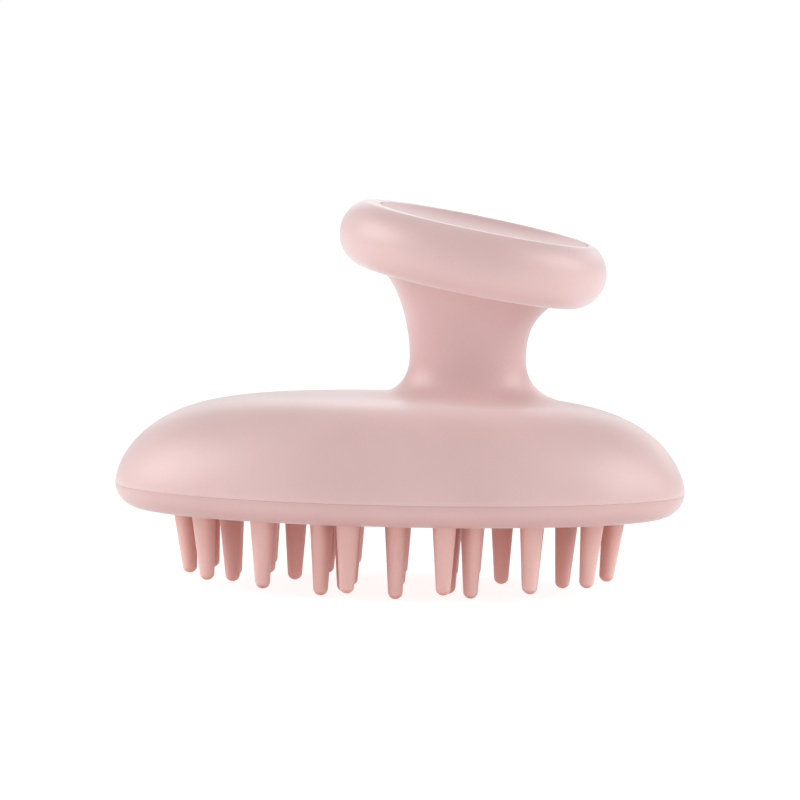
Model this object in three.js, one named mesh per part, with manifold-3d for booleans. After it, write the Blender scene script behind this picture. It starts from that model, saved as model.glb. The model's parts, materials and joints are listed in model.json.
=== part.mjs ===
// Scalp massager brush: an oval dome with an off-centre neck, a tilted pebble grip and a pad of bristles.
// Millimetres, +Z up. The origin is under the middle of the body, at the height of the bristle tips.
// +X runs along the body towards the end where the neck stands. The brush is mirrored about y = 0.
import * as THREE from 'three';
import { mergeVertices } from 'three/addons/utils/BufferGeometryUtils.js';
import Module from 'manifold-3d';

const wasm = await Module();
wasm.setup();

// ---- Driving dimensions ----
const GAP = 0.3; // clearance between neighbouring pieces, and the width of the seam lines
const SECTORS = 44; // sides of the large oval pieces

const BODY = {
  halfLength: 48,
  halfDepth: 31,
  widestZ: 17,
  rise: 15.3, // height of the dome over its widest level
  edgePower: 4.7, // how square the dome's shoulder is
  crownPower: 1.62,
  underInset: 4.4, // how far the rounded lower edge turns in
  bottomZ: 12.7,
  seamZ: 16.7,
  wall: 2.2,
};

const NECK = {
  x: 11,
  waistZ: 39,
  waistRadius: 9.8,
  topRadius: 14.6,
  topU: 0.2, // where the middle of the flared top lies along the grip, from the grip's middle
  flareIn: 0.6, // the flare's upper handle: the share of the whole narrowing that it runs in
  flareDown: 2.4, // and how far it runs down
  flareWaist: 4.9, // length of the flare's lower handle, up from the waist
  depthRatio: 0.86, // front-to-back size over side-to-side size
  filletReach: 18, // where the lower fillet has run out into the dome
  filletRise: 4.9, // length of the fillet's handle up the neck
  filletRun: 4.9, // length of the fillet's handle along the dome
  web: 2.8, // thickness of the floor that the grip is screwed to
  hollowTop: 9, // radius of the hollow neck right under that floor
};

const GRIP = {
  centre: new THREE.Vector3(11.6, 0, 56.85),
  tilt: THREE.MathUtils.degToRad(10.4), // down towards +X
  halfLength: 22.8,
  halfDepth: 22.4,
  widest: -0.3, // height of the widest level over the grip's centre
  shoulderInset: 5.3,
  shoulderRise: 5.6,
  rim: 4.9, // height of the flat land round the dish
  bellyInset: 5.4,
  bellyDrop: 5.7,
  crown: 0.3, // how far the underside bulges below the belly's edge
  landWidth: 1.7,
  ledge: 1.3, // height of the ledge that the cap rests on
  ledgeWidth: 2.2,
  cavityDraft: 1.6, // how much smaller the hollow is at its floor
  wall: 2.4,
};
const DISH = {
  depth: 1.7,
  power: 3, // a higher power gives a flatter middle and a steeper edge
  shift: 0.85, // towards the grip's low end, so the land is widest at the high end
};

const RING = {
  land: 1.1, // width of the flat ring under the brush
  ledgeZ: 13.7,
  wallInset: 4.1,
  tongueInset: 3,
  tongueZ: 18.1,
};
const PAD = { underZ: 13.4, topZ: 15.7, flangeInset: 4.4 };
const PLATE = { underZ: 16, topZ: 18.6, inset: 5.2, screwX: 29, screwY: 11.5 };

const SCREW = { shank: 1, head: 2.5, headHeight: 1.4, tip: 1.2, hole: 1.5, boss: 3, pilot: 1.3 };
const OVERRUN = 1; // how far a cut runs past the face that it goes through
const ROOTED = 0.8; // how far a boss is sunk into the wall that it stands on
const NECK_SCREW_OFFSET = 4.4;
const NECK_SCREW_LENGTH = 8.6;
const PLATE_SCREW_LENGTH = 7.4;

const BRISTLE = {
  rootRadius: 2,
  tipRadius: 1.15,
  tipFlat: 0.7,
  pivotZ: PAD.underZ - GAP - 2, // the root is half a ball whose centre is the bending point
  sides: 8,
};
// Ovals of bristles, from the outside in: how many stand at even angles round the oval, its size, how far
// round the first one stands (in steps), where the tips end in the middle and how much higher at the two
// ends, and how far the tips of those at the ends lean inwards.
const BRISTLE_OVALS = [
  { count: 14, halfLength: 36, halfDepth: 23.5, phase: 0, tipZ: 1.1, endLift: 0.5, lean: 6 },
  { count: 14, halfLength: 28.9, halfDepth: 19.8, phase: 0.5, tipZ: 0, endLift: 0.8, lean: 3 },
  { count: 6, halfLength: 17.4, halfDepth: 15.6, phase: 0, tipZ: 0.3, endLift: 0.5, lean: 0 },
];
const MIDDLE_ROW = [-8, 0, 8]; // the bristles along the middle of the pad

// ---- Materials ----
const finish = (color, roughness, metalness = 0) =>
  new THREE.MeshStandardMaterial({ color, roughness, metalness });
const SOFT_TOUCH = finish(0xe6bebb, 0.55);
const SILICONE = finish(0xe0a49c, 0.5);
const BOARD = finish(0xe9dcd6, 0.6);
const STEEL = finish(0xb9bbbd, 0.35, 0.9);

// ---- Meshes and solids ----
// A closed surface through loops of points; a loop of one point is a pole that closes the surface.
// The loops may run either way: the faces are turned to point out.
function loftSolid(loops) {
  const positions = [];
  const starts = [];
  for (const loop of loops) {
    starts.push(positions.length / 3);
    for (const p of loop) positions.push(p.x, p.y, p.z);
  }
  const triangles = [];
  const closesOnItself = loops[0].length > 1;
  const last = closesOnItself ? loops.length : loops.length - 1;
  for (let row = 0; row < last; row += 1) {
    const next = (row + 1) % loops.length;
    const n = Math.max(loops[row].length, loops[next].length);
    for (let i = 0; i < n; i += 1) {
      const j = (i + 1) % n;
      const a = starts[row] + (loops[row].length > 1 ? i : 0);
      const b = starts[row] + (loops[row].length > 1 ? j : 0);
      const c = starts[next] + (loops[next].length > 1 ? i : 0);
      const d = starts[next] + (loops[next].length > 1 ? j : 0);
      if (a !== b) triangles.push(a, c, b);
      if (c !== d) triangles.push(b, c, d);
    }
  }
  const geometry = new THREE.BufferGeometry();
  geometry.setAttribute('position', new THREE.Float32BufferAttribute(positions, 3));
  geometry.setIndex(triangles);
  const solid = solidOf(geometry);
  if (solid.volume() > 0) return solid;
  geometry.setIndex(triangles.reverse());
  return solidOf(geometry);
}

function solidOf(geometry) {
  geometry.deleteAttribute('normal');
  geometry.deleteAttribute('uv');
  const merged = mergeVertices(geometry, 1e-4);
  return new wasm.Manifold(new wasm.Mesh({
    numProp: 3,
    vertProperties: merged.attributes.position.array,
    triVerts: new Uint32Array(merged.index.array),
  }));
}

function geometryOf(solid) {
  const mesh = solid.getMesh();
  const geometry = new THREE.BufferGeometry();
  geometry.setAttribute('position', new THREE.BufferAttribute(new Float32Array(mesh.vertProperties), 3));
  geometry.setIndex(new THREE.BufferAttribute(new Uint32Array(mesh.triVerts), 1));
  const flat = geometry.toNonIndexed();
  flat.computeVertexNormals();
  return flat;
}

// A turned solid along +Z from a list of [radius, height] that starts and ends on the axis.
function turned(profile, sides) {
  const points = profile.map(([r, z]) => new THREE.Vector2(r, z));
  const geometry = new THREE.LatheGeometry(points, sides);
  geometry.rotateX(Math.PI / 2);
  return geometry;
}

function rod(radius, low, high, x, y, sides = 16) {
  const profile = [[0, low], [radius, low], [radius, high], [0, high]];
  return solidOf(turned(profile, sides).translate(x, y, 0));
}

function piece(name, solid, material) {
  const mesh = new THREE.Mesh(geometryOf(solid), material);
  mesh.name = name;
  return mesh;
}

// ---- The oval body's outer surface ----
const steps = (n) => Array.from({ length: n + 1 }, (_, i) => i / n);
const angles = (n) => Array.from({ length: n }, (_, i) => (2 * Math.PI * i) / n);

// Height of the dome's surface over a point, moved inwards by the given offset.
function domeHeight(x, y, offset) {
  const r = Math.hypot(x / (BODY.halfLength - offset), y / (BODY.halfDepth - offset));
  const rest = Math.max(0, 1 - r ** BODY.edgePower);
  return BODY.widestZ + (BODY.rise - offset) * rest ** (1 / BODY.crownPower);
}

// How far the outer surface has turned in at a height below the widest level.
function underInset(z) {
  const drop = Math.min(1, (BODY.widestZ - z) / (BODY.widestZ - BODY.bottomZ));
  return BODY.underInset * (1 - Math.sqrt(1 - drop * drop));
}

function ovalLoop(inset, z) {
  return angles(SECTORS).map((t) => new THREE.Vector3(
    (BODY.halfLength - inset) * Math.cos(t),
    (BODY.halfDepth - inset) * Math.sin(t),
    z,
  ));
}

// ---- The grip's own frame: u along it, v across it, w out of its top ----
function gripPoint(u, v, w) {
  return new THREE.Vector3(u, v, w).applyAxisAngle(new THREE.Vector3(0, 1, 0), GRIP.tilt).add(GRIP.centre);
}

function gripLoop(inset, w, shift = 0) {
  return angles(SECTORS).map((t) => gripPoint(
    shift + (GRIP.halfLength - inset) * Math.cos(t),
    (GRIP.halfDepth - inset) * Math.sin(t),
    w,
  ));
}

// Height of the grip's underside over its centre at a point inside the belly's edge.
function gripUnderside(u, v) {
  const reach = GRIP.halfLength - GRIP.bellyInset;
  const ratio = GRIP.halfLength / GRIP.halfDepth;
  const r = Math.min(1, Math.hypot(u, v * ratio) / reach);
  return GRIP.widest - GRIP.bellyDrop - GRIP.crown * (1 - r * r);
}

// ---- The neck ----
// One line down the neck's surface at an angle, from under the grip to the dome's widest level.
function neckLine(angle, offset, topRadius, underGrip, rows) {
  const side = new THREE.Vector2(Math.cos(angle), NECK.depthRatio * Math.sin(angle));
  const waistRadius = NECK.waistRadius - offset;
  const over = (r) => {
    const u = NECK.topU + side.x * r;
    return gripPoint(u, side.y * r, gripUnderside(u, side.y * r) - underGrip);
  };
  const at = (r, z) => new THREE.Vector3(NECK.x + side.x * r, side.y * r, z);
  const top = over(topRadius);
  const waist = at(waistRadius, NECK.waistZ);
  const flareIn = NECK.flareIn * (topRadius - waistRadius);
  const neck = new THREE.CubicBezierCurve3(
    top,
    top.clone().add(new THREE.Vector3(-side.x * flareIn, -side.y * flareIn, -NECK.flareDown)),
    waist.clone().add(new THREE.Vector3(0, 0, NECK.flareWaist)),
    waist,
  );
  const onDome = (r) => at(r, domeHeight(NECK.x + side.x * r, side.y * r, offset));
  const foot = onDome(NECK.filletReach);
  const along = onDome(NECK.filletReach - 0.1).sub(foot).normalize();
  const fillet = new THREE.CubicBezierCurve3(
    waist,
    waist.clone().add(new THREE.Vector3(0, 0, -NECK.filletRise)),
    foot.clone().addScaledVector(along, NECK.filletRun),
    foot,
  );
  const edge = new THREE.Vector2(
    (BODY.halfLength - offset) * Math.cos(angle),
    (BODY.halfDepth - offset) * Math.sin(angle),
  );
  const dome = steps(rows.dome).slice(1, -1).map((s) => {
    const k = Math.sin((s * Math.PI) / 2) ** 0.8; // closer rows where the dome turns down
    const x = THREE.MathUtils.lerp(foot.x, edge.x, k);
    const y = THREE.MathUtils.lerp(foot.y, edge.y, k);
    return new THREE.Vector3(x, y, domeHeight(x, y, offset));
  });
  return [
    ...steps(rows.web).slice(1).map((s) => over(topRadius * s)),
    ...neck.getPoints(rows.neck).slice(1),
    ...fillet.getPoints(rows.fillet).slice(1),
    ...dome,
    new THREE.Vector3(edge.x, edge.y, BODY.widestZ),
  ];
}

// All the lines round the neck turned into loops, with the pole on the neck's axis first.
function neckLoops(offset, topRadius, underGrip, rows) {
  const lines = angles(SECTORS).map((t) => neckLine(t, offset, topRadius, underGrip, rows));
  const pole = gripPoint(NECK.topU, 0, gripUnderside(NECK.topU, 0) - underGrip);
  return [[pole], ...lines[0].map((_, row) => lines.map((line) => line[row]))];
}

function domeShell() {
  const outer = neckLoops(0, NECK.topRadius, GAP, { web: 2, neck: 5, fillet: 6, dome: 9 });
  const inner = neckLoops(BODY.wall, NECK.hollowTop, GAP + NECK.web, { web: 1, neck: 3, fillet: 4, dome: 6 });
  const rimZ = BODY.seamZ + GAP / 2;
  const rim = [ovalLoop(underInset(rimZ), rimZ), ovalLoop(BODY.wall, rimZ)];
  let shell = loftSolid([...outer, ...rim, ...inner.reverse()]);
  for (const [x, y] of plateScrewPlaces()) {
    const roof = domeHeight(x, y, BODY.wall);
    const seat = PLATE.topZ + GAP;
    shell = shell.add(rod(SCREW.boss, seat, roof + ROOTED, x, y));
    shell = shell.subtract(rod(SCREW.pilot, seat - OVERRUN, PLATE.topZ + PLATE_SCREW_LENGTH, x, y));
  }
  for (const u of neckScrewPlaces()) {
    const webTop = gripUnderside(u, 0) - GAP;
    shell = shell.subtract(gripRod(SCREW.hole, webTop - NECK.web - OVERRUN, webTop + OVERRUN, u));
  }
  return shell;
}

// ---- The grip ----
const neckScrewPlaces = () => [-NECK_SCREW_OFFSET, NECK_SCREW_OFFSET].map((u) => u + NECK.x - GRIP.centre.x);

// A rod along the grip's w axis.
function gripRod(radius, low, high, u) {
  const geometry = turned([[0, low], [radius, low], [radius, high], [0, high]], 16);
  return solidOf(geometry.translate(u, 0, 0).rotateY(GRIP.tilt).translate(...GRIP.centre.toArray()));
}

// The outer side of the grip from the middle of its underside up to the rim, as [inset, height].
function gripSide(bellySteps, shoulderSteps) {
  const quarter = Math.PI / 2;
  const belly = steps(bellySteps).map((s) => [
    GRIP.bellyInset * (1 - Math.sin(s * quarter)),
    GRIP.widest - GRIP.bellyDrop * Math.cos(s * quarter),
  ]);
  const rimAngle = Math.asin((GRIP.rim - GRIP.widest) / GRIP.shoulderRise);
  const shoulder = steps(shoulderSteps).slice(1).map((s) => [
    GRIP.shoulderInset * (1 - Math.cos(s * rimAngle)),
    GRIP.widest + GRIP.shoulderRise * Math.sin(s * rimAngle),
  ]);
  return [...belly, ...shoulder];
}

function gripShell() {
  const side = gripSide(5, 4);
  const landInset = side[side.length - 1][0] + GRIP.landWidth;
  const cavityInset = landInset + GRIP.ledgeWidth;
  const belly = GRIP.widest - GRIP.bellyDrop;
  const floor = belly + GRIP.wall;
  const underMiddle = angles(SECTORS).map((t) => {
    const u = (GRIP.halfLength - GRIP.bellyInset) * 0.5 * Math.cos(t);
    const v = (GRIP.halfDepth - GRIP.bellyInset) * 0.5 * Math.sin(t);
    return gripPoint(u, v, gripUnderside(u, v));
  });
  let shell = loftSolid([
    [gripPoint(0, 0, gripUnderside(0, 0))],
    underMiddle,
    ...side.map(([inset, w]) => gripLoop(inset, w)),
    gripLoop(landInset, GRIP.rim, DISH.shift),
    gripLoop(landInset, GRIP.ledge, DISH.shift),
    gripLoop(cavityInset, GRIP.ledge, DISH.shift),
    gripLoop(cavityInset + GRIP.cavityDraft, floor, DISH.shift),
    [gripPoint(DISH.shift, 0, floor)],
  ]);
  const bossTop = GRIP.ledge - GAP;
  for (const u of neckScrewPlaces()) {
    shell = shell.add(gripRod(SCREW.boss, floor - ROOTED, bossTop, u));
    shell = shell.subtract(gripRod(SCREW.pilot, belly - GRIP.crown - OVERRUN, bossTop - 1, u));
  }
  return shell;
}

function gripCap() {
  const side = gripSide(5, 4);
  const edge = side[side.length - 1][0] + GRIP.landWidth + GAP;
  const underside = GRIP.ledge + GAP;
  const across = steps(5).slice(1, -1);
  const dish = across.map((s) => {
    const drop = DISH.depth * (1 - s ** DISH.power);
    return angles(SECTORS).map((t) => gripPoint(
      DISH.shift + (GRIP.halfLength - edge) * s * Math.cos(t),
      (GRIP.halfDepth - edge) * s * Math.sin(t),
      GRIP.rim - drop,
    ));
  });
  return loftSolid([
    [gripPoint(DISH.shift, 0, underside)],
    gripLoop(edge, underside, DISH.shift),
    gripLoop(edge, GRIP.rim, DISH.shift),
    ...dish.reverse(),
    [gripPoint(DISH.shift, 0, GRIP.rim - DISH.depth)],
  ]);
}

// ---- The base ----
function baseRing() {
  const top = BODY.seamZ - GAP / 2;
  const outer = steps(5).map((s) => {
    const z = THREE.MathUtils.lerp(top, BODY.bottomZ, Math.sin((s * Math.PI) / 2));
    return [underInset(z), z];
  });
  const opening = BODY.underInset + RING.land;
  const section = [
    ...outer,
    [opening, BODY.bottomZ],
    [opening, RING.ledgeZ],
    [RING.wallInset, RING.ledgeZ],
    [RING.wallInset, RING.tongueZ],
    [RING.tongueInset, RING.tongueZ],
    [RING.tongueInset, top],
  ];
  return loftSolid(section.reverse().map(([inset, z]) => ovalLoop(inset, z)));
}

function bristlePad() {
  const body = BODY.underInset + RING.land + GAP;
  return loftSolid([
    [new THREE.Vector3(0, 0, PAD.underZ)],
    ovalLoop(body, PAD.underZ),
    ovalLoop(body, RING.ledgeZ + GAP),
    ovalLoop(PAD.flangeInset, RING.ledgeZ + GAP),
    ovalLoop(PAD.flangeInset, PAD.topZ),
    [new THREE.Vector3(0, 0, PAD.topZ)],
  ]);
}

const plateScrewPlaces = () => [[-1, -1], [1, -1], [1, 1], [-1, 1]]
  .map(([sx, sy]) => [sx * PLATE.screwX, sy * PLATE.screwY]);

function backingPlate() {
  let plate = loftSolid([
    [new THREE.Vector3(0, 0, PLATE.underZ)],
    ovalLoop(PLATE.inset, PLATE.underZ),
    ovalLoop(PLATE.inset, PLATE.topZ),
    [new THREE.Vector3(0, 0, PLATE.topZ)],
  ]);
  const headRoom = PLATE.underZ + SCREW.headHeight + GAP;
  for (const [x, y] of plateScrewPlaces()) {
    plate = plate.subtract(rod(SCREW.hole, PLATE.underZ - OVERRUN, PLATE.topZ + OVERRUN, x, y));
    plate = plate.subtract(rod(SCREW.head + GAP, PLATE.underZ - OVERRUN, headRoom, x, y));
  }
  return plate;
}

// ---- Screws: the head's underside is at height 0 and the shank runs up ----
function screw(length) {
  const { shank, head, headHeight, tip } = SCREW;
  return turned([
    [0, -headHeight],
    [head * 0.8, -headHeight],
    [head, -headHeight * 0.6],
    [head, 0],
    [shank, 0],
    [shank, length - tip],
    [0, length],
  ], 12);
}

// ---- Bristles: the bending point is the origin and the tip points down ----
function bristle(length) {
  const { rootRadius, tipRadius, tipFlat, sides } = BRISTLE;
  const tipRound = tipRadius - tipFlat;
  const dome = steps(3).slice(1).map((s) => [
    rootRadius * Math.cos((s * Math.PI) / 2),
    rootRadius * Math.sin((s * Math.PI) / 2),
  ]);
  dome[dome.length - 1][0] = 0;
  return turned([
    [0, -length],
    [tipFlat, -length],
    [tipRadius - tipRound * 0.3, -length + tipRound * 0.6],
    [tipRadius, -length + tipRound * 1.8],
    [rootRadius, 0],
    ...dome,
  ], sides);
}

function bristlePlaces() {
  const ovals = BRISTLE_OVALS.flatMap((oval) => {
    const turn = (2 * Math.PI * oval.phase) / oval.count;
    return angles(oval.count).map((angle) => {
      const along = Math.cos(angle + turn);
      const x = oval.halfLength * along;
      const y = oval.halfDepth * Math.sin(angle + turn);
      const lean = THREE.MathUtils.degToRad(oval.lean) * along ** 3;
      const tipZ = oval.tipZ + oval.endLift * along ** 2;
      return { x, y, lean, length: (BRISTLE.pivotZ - tipZ) / Math.cos(lean) };
    });
  });
  const middle = MIDDLE_ROW.map((x) => ({ x, y: 0, lean: 0, length: BRISTLE.pivotZ }));
  return [...ovals, ...middle];
}

// ---- The assembly ----
const brush = new THREE.Group();
brush.add(
  piece('dome_shell', domeShell(), SOFT_TOUCH),
  piece('grip_shell', gripShell(), SOFT_TOUCH),
  piece('grip_cap', gripCap(), SOFT_TOUCH),
  piece('base_ring', baseRing(), SOFT_TOUCH),
  piece('bristle_pad', bristlePad(), SILICONE),
  piece('backing_plate', backingPlate(), BOARD),
);

neckScrewPlaces().forEach((u, i) => {
  const seat = gripUnderside(u, 0) - GAP - NECK.web - GAP;
  const mesh = new THREE.Mesh(screw(NECK_SCREW_LENGTH), STEEL);
  mesh.name = `neck_screw_${i + 1}`;
  mesh.position.copy(gripPoint(u, 0, seat));
  mesh.rotation.y = GRIP.tilt;
  brush.add(mesh);
});

plateScrewPlaces().forEach(([x, y], i) => {
  const mesh = new THREE.Mesh(screw(PLATE_SCREW_LENGTH), STEEL);
  mesh.name = `plate_screw_${i + 1}`;
  mesh.position.set(x, y, PLATE.underZ + SCREW.headHeight);
  brush.add(mesh);
});

bristlePlaces().forEach(({ x, y, lean, length }, i) => {
  const mesh = new THREE.Mesh(bristle(length), SILICONE);
  mesh.name = `bristle_${String(i + 1).padStart(2, '0')}`;
  mesh.position.set(x, y, BRISTLE.pivotZ);
  mesh.rotation.y = lean;
  brush.add(mesh);
});

export default brush;
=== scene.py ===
"""Scalp massager brush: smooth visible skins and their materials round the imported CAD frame."""

import json
import math

import bpy
import numpy as np
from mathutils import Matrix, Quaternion, Vector


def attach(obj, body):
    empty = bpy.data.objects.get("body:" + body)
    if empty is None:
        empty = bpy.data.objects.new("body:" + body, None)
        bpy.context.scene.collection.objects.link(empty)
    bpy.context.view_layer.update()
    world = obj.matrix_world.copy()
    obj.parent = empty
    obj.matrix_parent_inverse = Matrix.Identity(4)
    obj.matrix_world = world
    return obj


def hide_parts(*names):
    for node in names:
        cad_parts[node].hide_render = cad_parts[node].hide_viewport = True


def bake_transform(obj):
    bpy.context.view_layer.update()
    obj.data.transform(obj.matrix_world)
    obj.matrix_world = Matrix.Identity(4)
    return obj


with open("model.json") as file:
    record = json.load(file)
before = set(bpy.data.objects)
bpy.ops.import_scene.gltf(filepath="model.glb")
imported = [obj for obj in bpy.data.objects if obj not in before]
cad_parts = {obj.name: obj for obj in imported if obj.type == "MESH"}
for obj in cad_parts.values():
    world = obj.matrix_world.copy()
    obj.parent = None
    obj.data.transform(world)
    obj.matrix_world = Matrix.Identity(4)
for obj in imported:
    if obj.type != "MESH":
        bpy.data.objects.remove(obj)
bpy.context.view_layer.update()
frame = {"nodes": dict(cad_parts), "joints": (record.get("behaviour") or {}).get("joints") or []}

# Shapes are worked out in millimetres, in the CAD's own frame, and become metres in add_mesh.
MM = 0.001

# ---------------------------------------------------------------- camera
TARGET = (-0.26, 0.0, 31.56)
AZIMUTH = 1.2  # degrees, from the front (-Y) towards +X
ELEVATION = 4.96
ROLL = 1.14
DISTANCE = 1500.0
LENS = 401.0
SENSOR = 36.0
CLIP_NEAR, CLIP_FAR = 0.05, 40.0  # metres

# ---------------------------------------------------------------- body
HALF_LENGTH = 48.0
HALF_DEPTH = 31.0
WIDEST_Z = 17.0
RISE = 15.3
EDGE_POWER = 4.7
CROWN_POWER = 1.62
DOME_CROWDING = 0.8  # below 1, the dome's loops crowd towards its edge
UNDER_INSET = 4.4
BOTTOM_Z = 12.7
BODY_WALL = 2.2

SEAM_Z = 16.7
SEAM = 0.01  # width of the visible seam
SEAM_EDGE = 0.02  # size of the rounded edge at each side of it
SEAM_EDGE_MIDDLE = 0.0075  # how far the middle of that edge lies in from the sharp corner

# ---------------------------------------------------------------- neck
NECK_X = 11.0
WAIST_Z = 39.0
WAIST_RADIUS = 9.8
NECK_TOP_RADIUS = 14.6
NECK_TOP_U = 0.2
NECK_DEPTH_RATIO = 0.86
FLARE_IN = 0.6  # share of the narrowing that the flare's handle takes
FLARE_DOWN = 2.4
FLARE_WAIST = 4.9
FILLET_REACH = 18.0
FILLET_RISE = 4.9
FILLET_RUN = 4.9
TANGENT_STEP = 0.1
WEB = 2.8
HOLLOW_TOP_RADIUS = 9.0
GRIP_GAP = 0.02  # between the neck's top and the grip
LIP = 0.14  # radius of the flare's edge under the grip

# ---------------------------------------------------------------- grip and cap
GRIP_X = 11.6
GRIP_Z = 56.85
GRIP_TILT = math.radians(10.4)
GRIP_HALF_LENGTH = 22.8
GRIP_HALF_DEPTH = 22.4
GRIP_WIDEST = -0.3
GRIP_WALL = 2.4
SHOULDER_INSET = 5.3
SHOULDER_RISE = 5.6
GRIP_RIM = 4.9
BELLY_INSET = 5.4
BELLY_DROP = 5.7
BELLY_CROWN = 0.3
RIM_ANGLE = math.asin((GRIP_RIM - GRIP_WIDEST) / SHOULDER_RISE)

LAND_WIDTH = 1.7
LAND_INSET = SHOULDER_INSET * (1 - math.cos(RIM_ANGLE)) + LAND_WIDTH
LAND_EDGE = 0.12
LAND_EDGE_MIDDLE = 0.03
LAND_EDGE_DROP = 0.14
CAP_LEDGE = 1.3
LEDGE_WIDTH = 2.2
CAVITY_DRAFT = 1.6

CAP_SEAM = 0.1
CAP_SET_DOWN = 0.03  # how far the cap's edge lies below the land
CAP_EDGE_ROUND = 0.01
DISH_DEPTH = 1.7
DISH_POWER = 3
DISH_SHIFT = 0.85

# ---------------------------------------------------------------- ring and pad
RING_LAND = 1.1
RING_EDGE = 0.25
RING_EDGE_MIDDLE = 0.07
LEDGE_Z = 13.7
WALL_INSET = 4.1
TONGUE_INSET = 3.0
TONGUE_Z = 18.1

PAD_UNDER_Z = 13.4
PAD_TOP_Z = 15.7
PAD_FLANGE_INSET = 4.4
PAD_GAP = 0.12
PAD_EDGE = 0.2
PAD_EDGE_MIDDLE = 0.05
CAD_GAP = 0.3

# ---------------------------------------------------------------- bristles
BRISTLE_SIDES = 28
BRISTLE_ROOT = 1.88
BRISTLE_TIP = 1.15
BRISTLE_TIP_LENGTH = 1.15
BRISTLE_SUNK = 0.25  # how far a bristle's top is sunk into the pad
ROOT_FILLET = 0.7
BEND_END = 4.6  # how far under the pad a bristle has turned all the way
TIP_BAND = 0.15  # CAD points within this of a bristle's far end belong to its tip

# ---------------------------------------------------------------- mesh density
SECTORS = 176
OUTER_ROWS = {"web": 5, "neck": 26, "fillet": 26, "dome": 54}
INNER_ROWS = {"web": 3, "neck": 8, "fillet": 8, "dome": 16}
RING_ROWS = 22
BELLY_ROWS, SHOULDER_ROWS, UNDERSIDE_ROWS = 26, 22, 11
DISH_ROWS = 29
PAD_ROWS = 13
FILLET_RINGS, SHAFT_RINGS, TIP_RINGS = 6, 8, 7
SHARP = 50  # degrees between faces from which an edge stays sharp
SHARPER = 60

TURN = np.arange(SECTORS) * 2 * np.pi / SECTORS
COS, SIN = np.cos(TURN), np.sin(TURN)


def dome_height(x, y, offset=0.0):
    r = np.hypot(x / (HALF_LENGTH - offset), y / (HALF_DEPTH - offset))
    rest = np.maximum(0.0, 1 - r**EDGE_POWER)
    return WIDEST_Z + (RISE - offset) * rest ** (1 / CROWN_POWER)


def under_inset(z):
    drop = min(1.0, max(0.0, (WIDEST_Z - z) / (WIDEST_Z - BOTTOM_Z)))
    return UNDER_INSET * (1 - math.sqrt(1 - drop * drop))


def oval(inset, z, squash=1.0):
    """A level loop at an inset from the body's widest oval."""
    x = (HALF_LENGTH - inset) * squash * COS
    y = (HALF_DEPTH - inset) * squash * SIN
    return np.stack([x, y, np.full(SECTORS, float(z))], -1)


def on_grip(u, v, w):
    """Points of the grip's own frame: u along it, v across it, w out of its top."""
    u, v, w = np.broadcast_arrays(*(np.asarray(a, float) for a in (u, v, w)))
    c, s = math.cos(GRIP_TILT), math.sin(GRIP_TILT)
    return np.stack([u * c + w * s + GRIP_X, v, w * c - u * s + GRIP_Z], -1)


def grip_loop(inset, w, shift=0.0):
    u = shift + (GRIP_HALF_LENGTH - inset) * COS
    v = (GRIP_HALF_DEPTH - inset) * SIN
    return on_grip(u, v, w)


def grip_underside(u, v):
    reach = GRIP_HALF_LENGTH - BELLY_INSET
    r = np.minimum(1.0, np.hypot(u, v * GRIP_HALF_LENGTH / GRIP_HALF_DEPTH) / reach)
    return GRIP_WIDEST - BELLY_DROP - BELLY_CROWN * (1 - r * r)


def bezier(p0, p1, p2, p3, count):
    t = np.linspace(0, 1, count + 1)[:, None, None]
    s = 1 - t
    return s**3 * p0 + 3 * s * s * t * p1 + 3 * s * t * t * p2 + t**3 * p3


def neck_rows(offset, top_radius, under_grip, rows):
    """Loops from the neck's flared top down over the fillet and the dome to its widest level."""
    side_x, side_y = COS, NECK_DEPTH_RATIO * SIN
    zero = np.zeros(SECTORS)

    def at(r, z):
        return np.stack([NECK_X + side_x * r, side_y * r, zero + z], -1)

    def over(r):
        u = NECK_TOP_U + side_x * r
        v = side_y * r
        return on_grip(u, v, grip_underside(u, v) - under_grip)

    def on_dome(r):
        x, y = NECK_X + side_x * r, side_y * r
        return np.stack([x, y, dome_height(x, y, offset)], -1)

    top = over(top_radius)
    waist = at(WAIST_RADIUS - offset, WAIST_Z)
    flare_in = FLARE_IN * (top_radius - WAIST_RADIUS + offset)
    flare = np.stack([-side_x * flare_in, -side_y * flare_in, zero - FLARE_DOWN], -1)
    neck = bezier(top, top + flare, waist + [0, 0, FLARE_WAIST], waist, rows["neck"])

    foot = on_dome(FILLET_REACH)
    along = on_dome(FILLET_REACH - TANGENT_STEP) - foot
    along /= np.linalg.norm(along, axis=1)[:, None]
    upper, lower = waist - [0, 0, FILLET_RISE], foot + along * FILLET_RUN
    fillet = bezier(waist, upper, lower, foot, rows["fillet"])

    edge = np.stack([(HALF_LENGTH - offset) * COS, (HALF_DEPTH - offset) * SIN], -1)
    dome = []
    for s in np.linspace(0, 1, rows["dome"] + 1)[1:-1]:
        k = math.sin(s * math.pi / 2) ** DOME_CROWDING
        xy = foot[:, :2] * (1 - k) + edge * k
        dome.append(np.column_stack([xy, dome_height(xy[:, 0], xy[:, 1], offset)]))

    web = [over(top_radius * s) for s in np.linspace(0, 1, rows["web"] + 1)[1:-1]]
    centre = on_grip(NECK_TOP_U, 0, grip_underside(NECK_TOP_U, 0.0) - under_grip)
    rim = np.column_stack([edge, zero + WIDEST_Z])
    return [centre[None], *web, *neck, *fillet[1:], *dome, rim]


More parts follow.
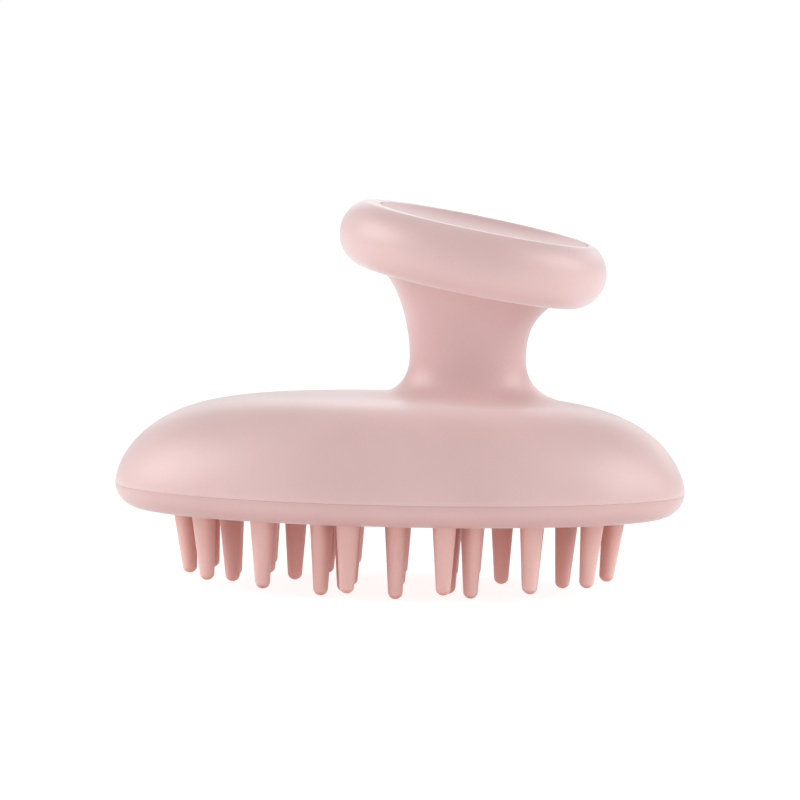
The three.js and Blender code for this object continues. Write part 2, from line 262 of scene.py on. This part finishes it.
def softened(loops, row, size):
    """Cuts the corner at one loop back by size to each side, with a rounded edge of five loops."""
    before, here, after = loops[row - 1], loops[row], loops[row + 1]

    def towards(p):
        d = p - here
        return here + d / np.linalg.norm(d, axis=1)[:, None] * size

    a, b = towards(before), towards(after)
    steps = (0, 0.25, 0.5, 0.75, 1)
    arc = [(1 - t) ** 2 * a + 2 * t * (1 - t) * here + t * t * b for t in steps]
    return [*loops[:row], *arc, *loops[row + 1 :]]


# ---------------------------------------------------------------- meshes
def add_mesh(name, points, faces, sharp):
    mesh = bpy.data.meshes.new(name)
    mesh.from_pydata([tuple(p * MM) for p in np.asarray(points)], [], faces)
    mesh.shade_smooth()
    mesh.set_sharp_from_angle(angle=math.radians(sharp))
    mesh.update()
    piece = bpy.data.objects.new(name, mesh)
    bpy.context.scene.collection.objects.link(piece)
    turn_out(mesh)
    return piece


def turn_out(mesh):
    """Turns the faces outwards if the loops ran the other way."""
    mesh.calc_loop_triangles()
    co = np.array([v.co for v in mesh.vertices])
    tri = np.array([t.vertices for t in mesh.loop_triangles])
    a, b, c = co[tri[:, 0]], co[tri[:, 1]], co[tri[:, 2]]
    if np.einsum("ij,ij->i", a, np.cross(b, c)).sum() < 0:
        mesh.flip_normals()


def closed_skin(name, loops, sharp=SHARP):
    """A closed smooth mesh through loops of points, each end closed by a loop of one point."""
    starts, points = [], []
    for loop in loops:
        starts.append(len(points))
        points.extend(loop)
    faces = []
    for row in range(len(loops) - 1):
        a, b = starts[row], starts[row + 1]
        n = max(len(loops[row]), len(loops[row + 1]))
        for i in range(n):
            j = (i + 1) % n
            if len(loops[row]) == 1:
                faces.append((a, b + i, b + j))
            elif len(loops[row + 1]) == 1:
                faces.append((a + i, b, a + j))
            else:
                faces.append((a + i, b + i, b + j, a + j))
    return add_mesh(name, points, faces, sharp)


def closed_ring(name, loops):
    """A tube-like ring: the last loop joins the first."""
    n, rows = SECTORS, len(loops)
    faces = []
    for row in range(rows):
        a, b = row * n, ((row + 1) % rows) * n
        faces += [(a + i, b + i, b + (i + 1) % n, a + (i + 1) % n) for i in range(n)]
    return add_mesh(name, np.concatenate(loops), faces, SHARP)


def body_skin():
    outer = neck_rows(0.0, NECK_TOP_RADIUS, GRIP_GAP, OUTER_ROWS)
    outer = softened(outer, OUTER_ROWS["web"], LIP)
    inner = neck_rows(BODY_WALL, HOLLOW_TOP_RADIUS, CAD_GAP + WEB, INNER_ROWS)
    rim_z = SEAM_Z + SEAM / 2
    inset = under_inset(rim_z)
    rim = [
        oval(inset, rim_z + SEAM_EDGE),
        oval(inset + SEAM_EDGE_MIDDLE, rim_z + SEAM_EDGE_MIDDLE),
        oval(inset + SEAM_EDGE, rim_z),
        oval(BODY_WALL, rim_z),
    ]
    return closed_skin("soft_touch_dome", [*outer, *rim, *inner[::-1]])


def ring_skin():
    top = SEAM_Z - SEAM / 2
    inset = under_inset(top)
    side_top = top - SEAM_EDGE
    outer = [
        oval(inset + SEAM_EDGE, top),
        oval(inset + SEAM_EDGE_MIDDLE, top - SEAM_EDGE_MIDDLE),
    ]
    for i in range(RING_ROWS + 1):
        z = side_top + (BOTTOM_Z - side_top) * math.sin(i / RING_ROWS * math.pi / 2)
        outer.append(oval(under_inset(z), z))
    opening = UNDER_INSET + RING_LAND
    section = [
        oval(TONGUE_INSET, top),
        *outer,
        oval(opening - RING_EDGE, BOTTOM_Z),
        oval(opening - RING_EDGE_MIDDLE, BOTTOM_Z + RING_EDGE_MIDDLE),
        oval(opening, BOTTOM_Z + RING_EDGE),
        oval(opening, LEDGE_Z),
        oval(WALL_INSET, LEDGE_Z),
        oval(WALL_INSET, TONGUE_Z),
        oval(TONGUE_INSET, TONGUE_Z),
    ]
    return closed_ring("lower_rim", section)


def grip_side():
    """Inset and height of each loop of the grip's side, from its underside up to the land."""
    side = []
    for s in np.linspace(0, np.pi / 2, BELLY_ROWS + 1):
        side.append((BELLY_INSET * (1 - math.sin(s)), GRIP_WIDEST - BELLY_DROP * math.cos(s)))
    for s in np.linspace(0, RIM_ANGLE, SHOULDER_ROWS + 1)[1:]:
        inset = SHOULDER_INSET * (1 - math.cos(s))
        side.append((inset, GRIP_WIDEST + SHOULDER_RISE * math.sin(s)))
    return side


def grip_skin():
    cavity = LAND_INSET + LEDGE_WIDTH
    floor = GRIP_WIDEST - BELLY_DROP + GRIP_WALL
    under = []
    for s in np.linspace(0, 1, UNDERSIDE_ROWS + 1)[1:-1]:
        u = (GRIP_HALF_LENGTH - BELLY_INSET) * s * COS
        v = (GRIP_HALF_DEPTH - BELLY_INSET) * s * SIN
        under.append(on_grip(u, v, grip_underside(u, v)))
    loops = [on_grip(0, 0, grip_underside(0.0, 0.0))[None], *under]
    loops += [grip_loop(inset, w) for inset, w in grip_side()]
    rim_row = len(loops) - 1
    loops += [
        grip_loop(LAND_INSET - LAND_EDGE, GRIP_RIM, DISH_SHIFT),
        grip_loop(LAND_INSET - LAND_EDGE_MIDDLE, GRIP_RIM - LAND_EDGE_MIDDLE, DISH_SHIFT),
        grip_loop(LAND_INSET, GRIP_RIM - LAND_EDGE_DROP, DISH_SHIFT),
        grip_loop(LAND_INSET, CAP_LEDGE, DISH_SHIFT),
        grip_loop(cavity, CAP_LEDGE, DISH_SHIFT),
        grip_loop(cavity + CAVITY_DRAFT, floor, DISH_SHIFT),
        on_grip(DISH_SHIFT, 0, floor)[None],
    ]
    return closed_skin("pebble_grip", softened(loops, rim_row, LAND_EDGE), SHARPER)


def cap_skin():
    edge = LAND_INSET + CAP_SEAM
    edge_top = GRIP_RIM - CAP_SET_DOWN
    underside = CAP_LEDGE + CAD_GAP
    half_length, half_depth = GRIP_HALF_LENGTH - edge, GRIP_HALF_DEPTH - edge
    dish = []
    for s in np.linspace(1, 0, DISH_ROWS + 1)[1:-1]:
        u = DISH_SHIFT + half_length * s * COS
        drop = DISH_DEPTH * (1 - s**DISH_POWER)
        dish.append(on_grip(u, half_depth * s * SIN, GRIP_RIM - drop))
    loops = [
        on_grip(DISH_SHIFT, 0, underside)[None],
        grip_loop(edge, underside, DISH_SHIFT),
        grip_loop(edge, GRIP_RIM - LAND_EDGE_DROP, DISH_SHIFT),
        grip_loop(edge + LAND_EDGE_MIDDLE, edge_top - CAP_EDGE_ROUND, DISH_SHIFT),
        grip_loop(edge + LAND_EDGE, edge_top, DISH_SHIFT),
        *dish,
        on_grip(DISH_SHIFT, 0, GRIP_RIM - DISH_DEPTH)[None],
    ]
    return closed_skin("dished_top", loops, SHARPER)


def pad_skin():
    side = UNDER_INSET + RING_LAND + PAD_GAP
    flange_z = LEDGE_Z + CAD_GAP
    under = [oval(side, PAD_UNDER_Z, s) for s in np.linspace(0, 1, PAD_ROWS + 1)[1:-1]]
    loops = [
        np.array([[0, 0, PAD_UNDER_Z]]),
        *under,
        oval(side + PAD_EDGE, PAD_UNDER_Z),
        oval(side + PAD_EDGE_MIDDLE, PAD_UNDER_Z + PAD_EDGE_MIDDLE),
        oval(side, PAD_UNDER_Z + PAD_EDGE),
        oval(side, flange_z),
        oval(PAD_FLANGE_INSET, flange_z),
        oval(PAD_FLANGE_INSET, PAD_TOP_Z),
        np.array([[0, 0, PAD_TOP_Z]]),
    ]
    return closed_skin("silicone_pad", loops)


def bristle_rings(start, length):
    """Distance from the bending point and radius of each ring, from the pad down to the tip."""
    slope = (BRISTLE_ROOT - BRISTLE_TIP) / length
    tip_start = length - BRISTLE_TIP_LENGTH
    profile = []
    for s in np.linspace(0, math.pi / 2, FILLET_RINGS + 1):
        profile.append((start + ROOT_FILLET * (1 - math.cos(s)), ROOT_FILLET * (1 - math.sin(s))))
    shaft = np.linspace(profile[-1][0], tip_start, SHAFT_RINGS + 1)[1:]
    profile += [(d, 0.0) for d in shaft]
    rings = [(d, BRISTLE_ROOT - slope * d + extra) for d, extra in profile]
    last = rings[-1][1]
    for s in np.linspace(0, math.pi / 2, TIP_RINGS + 1)[1:-1]:
        rings.append((tip_start + BRISTLE_TIP_LENGTH * math.sin(s), last * math.cos(s)))
    return rings


def bristle_skin(name, root, tip):
    """A tapered bristle from the pad down to its tip, with a small fillet where it leaves the pad."""
    angle = np.arange(BRISTLE_SIDES) * 2 * np.pi / BRISTLE_SIDES
    length = np.linalg.norm(tip - root)
    axis = (tip - root) / length
    # lengths run from the bending point, and the pad's underside is above it
    start = -(PAD_UNDER_Z - root[2]) / abs(axis[2])
    square, flat = np.array([-axis[2], 0.0, axis[0]]), np.array([1.0, 0.0, 0.0])
    loops = []
    for d, r in bristle_rings(start, length):
        level = max(0.0, 1 - (d - start) / BEND_END)
        across = square * (1 - level) + flat * level
        across /= np.linalg.norm(across)
        ring = np.outer(np.cos(angle), across) + np.outer(np.sin(angle), [0, 1.0, 0])
        loops.append(root + axis * d + r * ring)
    sunk = np.array([0, 0, BRISTLE_SUNK])
    loops = [(root + axis * start + sunk)[None], loops[0] + sunk, *loops, tip[None]]
    return closed_skin(name, loops, SHARPER)


def bristle_ends(node):
    """The bending point and the middle of the tip of one CAD bristle, in millimetres."""
    joint = next(j for j in frame["joints"] if j["child"] == node)
    co = np.array([v.co for v in frame["nodes"][node].data.vertices]) / MM
    root = np.array(joint["pos_m"]) / MM
    reach = np.linalg.norm(co - root, axis=1)
    return root, co[reach > reach.max() - TIP_BAND].mean(0)


# ---------------------------------------------------------------- materials
WHITE = (1.0, 1.0, 1.0)
PAINTED_SHADE_REACH = 22  # mm within which nearby surfaces darken a colour with painted shade
DRIFT_MM = 14
GRAIN_TINT = (0.955, 0.955, 0.955)
DUST_MM = 7.5  # spacing of the specks of dust
DUST_RADIUS = 0.028  # as a share of the spacing
DUST_CORE = 0.4  # share of a speck's radius that is full strength
DUST_TINT = (0.74, 0.66, 0.66)
GLOSS_MM = 3.5
RIPPLE_MM = 9
MARKS_SCALE = 900.0


def new_material(name):
    material = bpy.data.materials.new(name)
    material.use_nodes = True
    nodes, links = material.node_tree.nodes, material.node_tree.links
    nodes.clear()
    out = nodes.new("ShaderNodeOutputMaterial")
    shader = nodes.new("ShaderNodeBsdfPrincipled")
    links.new(shader.outputs["BSDF"], out.inputs["Surface"])
    coordinates = nodes.new("ShaderNodeTexCoord")
    return material, nodes, links, shader, coordinates.outputs["Object"]


def noise(nodes, links, where, size_mm, detail=3.0, rough=0.5):
    node = nodes.new("ShaderNodeTexNoise")
    node.inputs["Scale"].default_value = 1 / (size_mm * MM)
    node.inputs["Detail"].default_value = detail
    node.inputs["Roughness"].default_value = rough
    links.new(where, node.inputs["Vector"])
    return node.outputs["Fac"]


def ramp(nodes, links, value, stops):
    """A blend between two stops, each a position and a colour."""
    node = nodes.new("ShaderNodeValToRGB")
    for element, (position, colour) in zip(node.color_ramp.elements, stops):
        element.position = position
        element.color = (*colour, 1.0)
    links.new(value, node.inputs["Fac"])
    return node.outputs["Color"]


def multiplied(nodes, links, a, b):
    node = nodes.new("ShaderNodeMix")
    node.data_type = "RGBA"
    node.blend_type = "MULTIPLY"
    node.inputs["Factor"].default_value = 1.0
    links.new(a, node.inputs["A"])
    links.new(b, node.inputs["B"])
    return node.outputs["Result"]


def spread(nodes, links, value, low, high):
    """A value from 0 to 1 stretched between low and high."""
    node = nodes.new("ShaderNodeMapRange")
    node.inputs["To Min"].default_value = low
    node.inputs["To Max"].default_value = high
    links.new(value, node.inputs["Value"])
    return node.outputs["Result"]


def specks(nodes, links, where, size_mm, radius):
    """Small scattered dots: 1 in the middle of a speck and 0 between the specks."""
    cells = nodes.new("ShaderNodeTexVoronoi")
    cells.inputs["Scale"].default_value = 1 / (size_mm * MM)
    links.new(where, cells.inputs["Vector"])
    dot = nodes.new("ShaderNodeMapRange")
    dot.inputs["From Min"].default_value = radius
    dot.inputs["From Max"].default_value = radius * DUST_CORE
    links.new(cells.outputs["Distance"], dot.inputs["Value"])
    return dot.outputs["Result"]


def bump(nodes, links, shader, layers):
    """Layers of (height, strength, distance in mm), one on top of the other."""
    normal = None
    for height, strength, distance in layers:
        node = nodes.new("ShaderNodeBump")
        node.inputs["Strength"].default_value = strength
        node.inputs["Distance"].default_value = distance * MM
        links.new(height, node.inputs["Height"])
        if normal is not None:
            links.new(normal, node.inputs["Normal"])
        normal = node.outputs["Normal"]
    links.new(normal, shader.inputs["Normal"])


def with_painted_shade(nodes, links, colour, painted_shade_colour, closed, clear):
    """Painted shade: multiplies a colour by a deeper tone where the surface is hemmed in by others, as
    in hollows, under the grip and between the bristles.
    """
    reach = nodes.new("ShaderNodeAmbientOcclusion")
    reach.samples = 16
    reach.inputs["Distance"].default_value = PAINTED_SHADE_REACH * MM
    tone = ramp(nodes, links, reach.outputs["AO"], [(closed, painted_shade_colour), (clear, WHITE)])
    return multiplied(nodes, links, colour, tone)


def moulded(
    name,
    light,
    dark,
    rough,
    grain_mm,
    scatter,
    scatter_radius,
    scatter_mm,
    sheen=0.0,
    specular=0.5,
    coat=0.0,
    # colour of the painted shade in hollows
    painted_shade_colour=(0.54, 0.3, 0.275),
    closed=0.12,
    clear=0.78,
):
    """A matt moulded surface: slow colour drift, fine grain, uneven gloss, a few specks of dust, and
    painted shade where other surfaces hem it in.
    """
    material, nodes, links, shader, where = new_material(name)
    drift = noise(nodes, links, where, DRIFT_MM, 2.0)
    colour = ramp(nodes, links, drift, [(0.35, dark), (0.68, light)])
    fine = noise(nodes, links, where, grain_mm, 2.0, 0.6)
    grain = ramp(nodes, links, fine, [(0.3, GRAIN_TINT), (0.7, WHITE)])
    colour = multiplied(nodes, links, colour, grain)
    dust = specks(nodes, links, where, DUST_MM, DUST_RADIUS)
    dusty = ramp(nodes, links, dust, [(0.0, WHITE), (1.0, DUST_TINT)])
    colour = multiplied(nodes, links, colour, dusty)
    # painted shade where nearby surfaces hem the surface in
    colour = with_painted_shade(nodes, links, colour, painted_shade_colour, closed, clear)
    links.new(colour, shader.inputs["Base Color"])

    uneven = noise(nodes, links, where, GLOSS_MM, 4.0)
    gloss = spread(nodes, links, uneven, rough - 0.04, rough + 0.05)
    links.new(gloss, shader.inputs["Roughness"])
    ripple = noise(nodes, links, where, RIPPLE_MM, 2.0)
    bump(nodes, links, shader, [(ripple, 0.25, 0.05), (fine, 0.18, 0.02), (dust, 0.5, 0.03)])

    shader.inputs["Subsurface Weight"].default_value = scatter
    shader.inputs["Subsurface Radius"].default_value = scatter_radius
    shader.inputs["Subsurface Scale"].default_value = scatter_mm * MM
    shader.inputs["Specular IOR Level"].default_value = specular
    shader.inputs["Sheen Weight"].default_value = sheen
    shader.inputs["Sheen Roughness"].default_value = 0.4
    shader.inputs["Coat Weight"].default_value = coat
    shader.inputs["Coat Roughness"].default_value = 0.3
    return material


def soft_touch(name, sheen, light, dark):
    """The rubbery paint of the shells."""
    return moulded(
        name,
        light,
        dark,
        rough=0.46,
        grain_mm=0.22,
        scatter=0.1,
        scatter_radius=(1.0, 0.55, 0.45),
        scatter_mm=1.0,
        sheen=sheen,
        coat=0.3,
    )


def silicone():
    """The soft, slightly translucent rubber of the pad and the bristles."""
    return moulded(
        "silicone_pink",
        light=(0.85, 0.55, 0.505),
        dark=(0.81, 0.51, 0.465),
        rough=0.42,
        grain_mm=0.3,
        scatter=0.35,
        scatter_radius=(1.0, 0.4, 0.3),
        scatter_mm=1.2,
        sheen=0.2,
        specular=0.4,
        # painted shade, darker between the bristles and at their roots
        painted_shade_colour=(0.56, 0.29, 0.25),
        closed=0.03,
        clear=0.4,
    )


def plate_plastic():
    """The plain moulding behind the pad."""
    return moulded(
        "plate_plastic",
        light=(0.82, 0.72, 0.68),
        dark=(0.78, 0.68, 0.64),
        rough=0.5,
        grain_mm=0.5,
        scatter=0.1,
        scatter_radius=(1.0, 0.7, 0.6),
        scatter_mm=0.8,
        specular=0.45,
    )


def steel():
    """Zinc-plated steel with fine turning marks round the screw's axis."""
    material, nodes, links, shader, where = new_material("screw_steel")
    marks = nodes.new("ShaderNodeTexWave")
    marks.bands_direction = "Z"
    marks.inputs["Scale"].default_value = MARKS_SCALE
    marks.inputs["Distortion"].default_value = 1.5
    links.new(where, marks.inputs["Vector"])
    patches = noise(nodes, links, where, 1.5)
    tone = ramp(nodes, links, patches, [(0.3, (0.5, 0.51, 0.52)), (0.7, (0.64, 0.65, 0.66))])
    links.new(tone, shader.inputs["Base Color"])
    gloss = spread(nodes, links, noise(nodes, links, where, 0.8), 0.25, 0.42)
    links.new(gloss, shader.inputs["Roughness"])
    shader.inputs["Metallic"].default_value = 1.0
    bump(nodes, links, shader, [(marks.outputs["Fac"], 0.2, 0.02)])
    return material


def wear(thing, material):
    thing.data.materials.clear()
    thing.data.materials.append(material)


# ---------------------------------------------------------------- studio, in metres and watts
AIM = (0.0, 0.0, 0.03)
SOFTBOXES = (
    # name, place, width and height, power
    ("softbox_left", (-0.72, 0.0, 0.42), (0.6, 0.5), 3.3),
    ("softbox_right", (0.76, 0.0, 0.42), (0.6, 0.5), 3.0),
    ("softbox_back", (0.2, 1.3, 0.45), (1.4, 0.4), 2.4),
    ("softbox_front", (0.0, -1.6, 0.5), (0.9, 0.6), 0.8),
)
SKY_STRENGTH = 0.5
FLOOR_HALF = 14.0
FLOOR_GREY = 0.3
FLOOR_GLOW = 0.86


def look_at(thing, target):
    thing.rotation_mode = "QUATERNION"
    thing.rotation_quaternion = (Vector(target) - thing.location).to_track_quat("-Z", "Y")


def add_camera():
    azimuth, elevation = math.radians(AZIMUTH), math.radians(ELEVATION)
    level = math.cos(elevation)
    back = Vector((math.sin(azimuth) * level, -math.cos(azimuth) * level, math.sin(elevation)))
    data = bpy.data.cameras.new("camera")
    data.sensor_width = SENSOR
    data.lens = LENS
    data.clip_start, data.clip_end = CLIP_NEAR, CLIP_FAR
    camera = bpy.data.objects.new("camera", data)
    bpy.context.scene.collection.objects.link(camera)
    target = Vector(TARGET) * MM
    camera.location = target + back * DISTANCE * MM
    look_at(camera, target)
    roll = Quaternion((0, 0, 1), math.radians(ROLL))
    camera.rotation_quaternion = camera.rotation_quaternion @ roll
    bpy.context.scene.camera = camera


def add_softbox(name, place, size, power):
    data = bpy.data.lights.new(name, "AREA")
    data.shape = "RECTANGLE"
    data.size, data.size_y = size
    data.energy = power
    light = bpy.data.objects.new(name, data)
    bpy.context.scene.collection.objects.link(light)
    light.location = place
    look_at(light, AIM)


def add_floor():
    corners = [(-1, -1), (1, -1), (1, 1), (-1, 1)]
    mesh = bpy.data.meshes.new("floor")
    mesh.from_pydata([(x * FLOOR_HALF, y * FLOOR_HALF, 0) for x, y in corners], [], [(0, 1, 2, 3)])
    floor = bpy.data.objects.new("floor", mesh)
    bpy.context.scene.collection.objects.link(floor)
    material = bpy.data.materials.new("pale_floor")
    material.use_nodes = True
    shader = material.node_tree.nodes["Principled BSDF"]
    shader.inputs["Base Color"].default_value = (FLOOR_GREY, FLOOR_GREY, FLOOR_GREY, 1.0)
    shader.inputs["Roughness"].default_value = 0.9
    shader.inputs["Specular IOR Level"].default_value = 0.0
    shader.inputs["Emission Color"].default_value = (*WHITE, 1.0)
    shader.inputs["Emission Strength"].default_value = FLOOR_GLOW
    mesh.materials.append(material)


def add_studio():
    scene = bpy.context.scene
    scene.view_settings.view_transform = "Standard"
    scene.view_settings.look = "None"
    world = bpy.data.worlds.new("studio")
    world.use_nodes = True
    sky = world.node_tree.nodes["Background"]
    sky.inputs["Color"].default_value = (*WHITE, 1.0)
    sky.inputs["Strength"].default_value = SKY_STRENGTH
    scene.world = world
    for name, place, size, power in SOFTBOXES:
        add_softbox(name, place, size, power)
    add_floor()


# ---------------------------------------------------------------- the brush
add_camera()
add_studio()

SOFT = soft_touch("soft_touch_pink", 0.7, light=(0.79, 0.548, 0.535), dark=(0.76, 0.518, 0.505))
# a darker copy of the shell paint: painted shade on the dished top
SOFT_DISH_PAINTED_SHADE = soft_touch("soft_touch_dish_painted_shade", 0.0, light=(0.72, 0.465, 0.455), dark=(0.69, 0.44, 0.43))
# a darker copy of the shell paint: painted shade on the lower rim
SOFT_RIM_PAINTED_SHADE = soft_touch("soft_touch_rim_painted_shade", 0.4, light=(0.71, 0.46, 0.45), dark=(0.68, 0.435, 0.42))
RUBBER, BOARD, STEEL = silicone(), plate_plastic(), steel()

for build, node, slot, material in (
    (body_skin, "dome_shell", "soft_touch", SOFT),
    (grip_skin, "grip_shell", "soft_touch", SOFT),
    (cap_skin, "grip_cap", "soft_touch", SOFT_DISH_PAINTED_SHADE),
    (ring_skin, "base_ring", "soft_touch", SOFT_RIM_PAINTED_SHADE),
    (pad_skin, "bristle_pad", "silicone", RUBBER),
):
    piece = build()
    wear(piece, material)
    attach(piece, "brush_body")
    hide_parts(node)

for node in sorted(frame["nodes"]):
    if node.startswith("bristle_") and node != "bristle_pad":
        root, tip = bristle_ends(node)
        piece = bristle_skin("soft_" + node, root, tip)
        wear(piece, RUBBER)
        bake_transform(piece)
        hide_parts(node)
    elif node == "backing_plate":
        wear(frame["nodes"][node], BOARD)
    elif "screw" in node:
        wear(frame["nodes"][node], STEEL)
